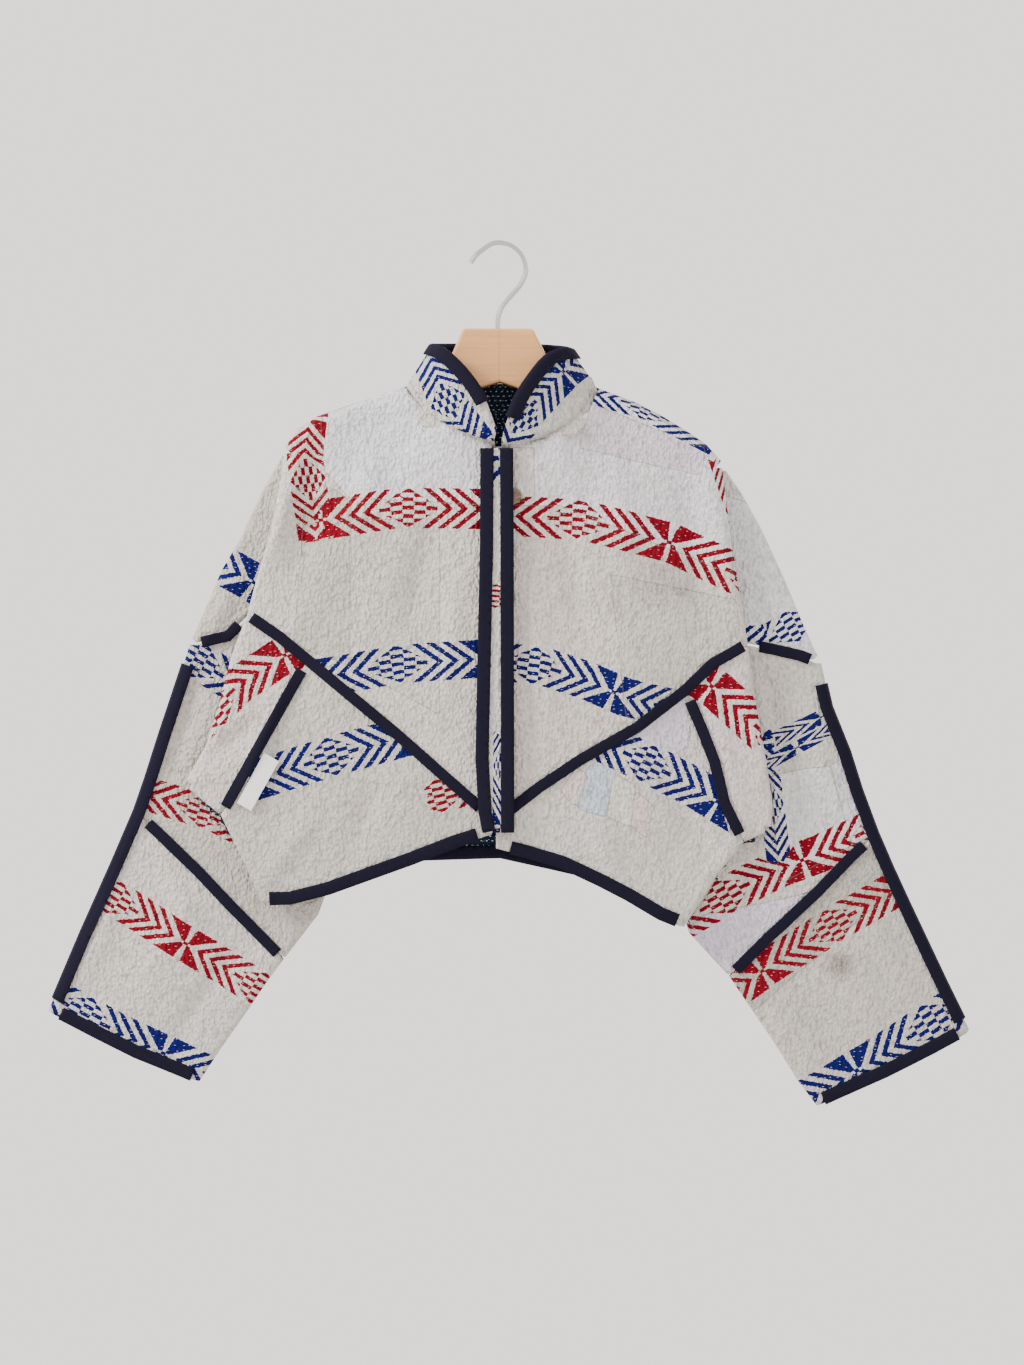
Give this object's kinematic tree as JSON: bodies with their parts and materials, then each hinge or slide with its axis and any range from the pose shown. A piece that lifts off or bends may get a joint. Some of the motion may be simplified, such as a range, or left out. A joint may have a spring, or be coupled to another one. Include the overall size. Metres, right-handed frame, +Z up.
{
  "type": "patchwork jacket on a hanger",
  "caption": "Cropped quilted patchwork jacket with stand collar, wide sleeves and bound seams, hanging on a wooden coat hanger with a metal hook.",
  "frame": {"origin": "inner top of the hanger's hook, where it hangs", "axes": "+Z up, the jacket's front faces -Y, the wearer's left is +X"},
  "size_m": [0.9227, 0.0728, 0.8663],
  "materials": {
    "quilted_cotton": "quilted cotton, matt",
    "binding_tape": "navy cotton bias tape",
    "hanger_wood": "lacquered beech",
    "hook_metal": "satin steel",
    "button": "brown horn look",
    "label_cotton": "blank white cotton tab"
  },
  "bodies": {
    "root": {"back": "quilted_cotton", "binding_armhole_left": "binding_tape", "binding_armhole_right": "binding_tape", "binding_cuff_hem_back_left": "binding_tape", "binding_cuff_hem_back_right": "binding_tape", "binding_cuff_hem_front_left": "binding_tape", "binding_cuff_hem_front_right": "binding_tape", "binding_cuff_seam_back_left": "binding_tape", "binding_cuff_seam_back_right": "binding_tape", "binding_cuff_seam_front_left": "binding_tape", "binding_cuff_seam_front_right": "binding_tape", "binding_diagonal_left": "binding_tape", "binding_diagonal_right": "binding_tape", "binding_hem_back": "binding_tape", "binding_hem_left": "binding_tape", "binding_hem_right": "binding_tape", "binding_outer_left": "binding_tape", "binding_outer_right": "binding_tape", "binding_sleeve_seam_back_left": "binding_tape", "binding_sleeve_seam_back_right": "binding_tape", "binding_sleeve_seam_front_left": "binding_tape", "binding_sleeve_seam_front_right": "binding_tape", "button": "button", "collar": "quilted_cotton", "collar_binding": "binding_tape", "cuff_left": "quilted_cotton", "cuff_right": "quilted_cotton", "front_lower_left": "quilted_cotton", "front_lower_right": "quilted_cotton", "front_yoke_left": "quilted_cotton", "front_yoke_right": "quilted_cotton", "hanger_hook": "hook_metal", "hanger_wood": "hanger_wood", "label_blank": "label_cotton", "placket": "quilted_cotton", "placket_binding_left": "binding_tape", "placket_binding_right": "binding_tape", "sleeve_middle_left": "quilted_cotton", "sleeve_middle_right": "quilted_cotton", "sleeve_upper_left": "quilted_cotton", "sleeve_upper_right": "quilted_cotton", "underarm_left": "quilted_cotton", "underarm_right": "quilted_cotton"}
  },
  "joints": []
}
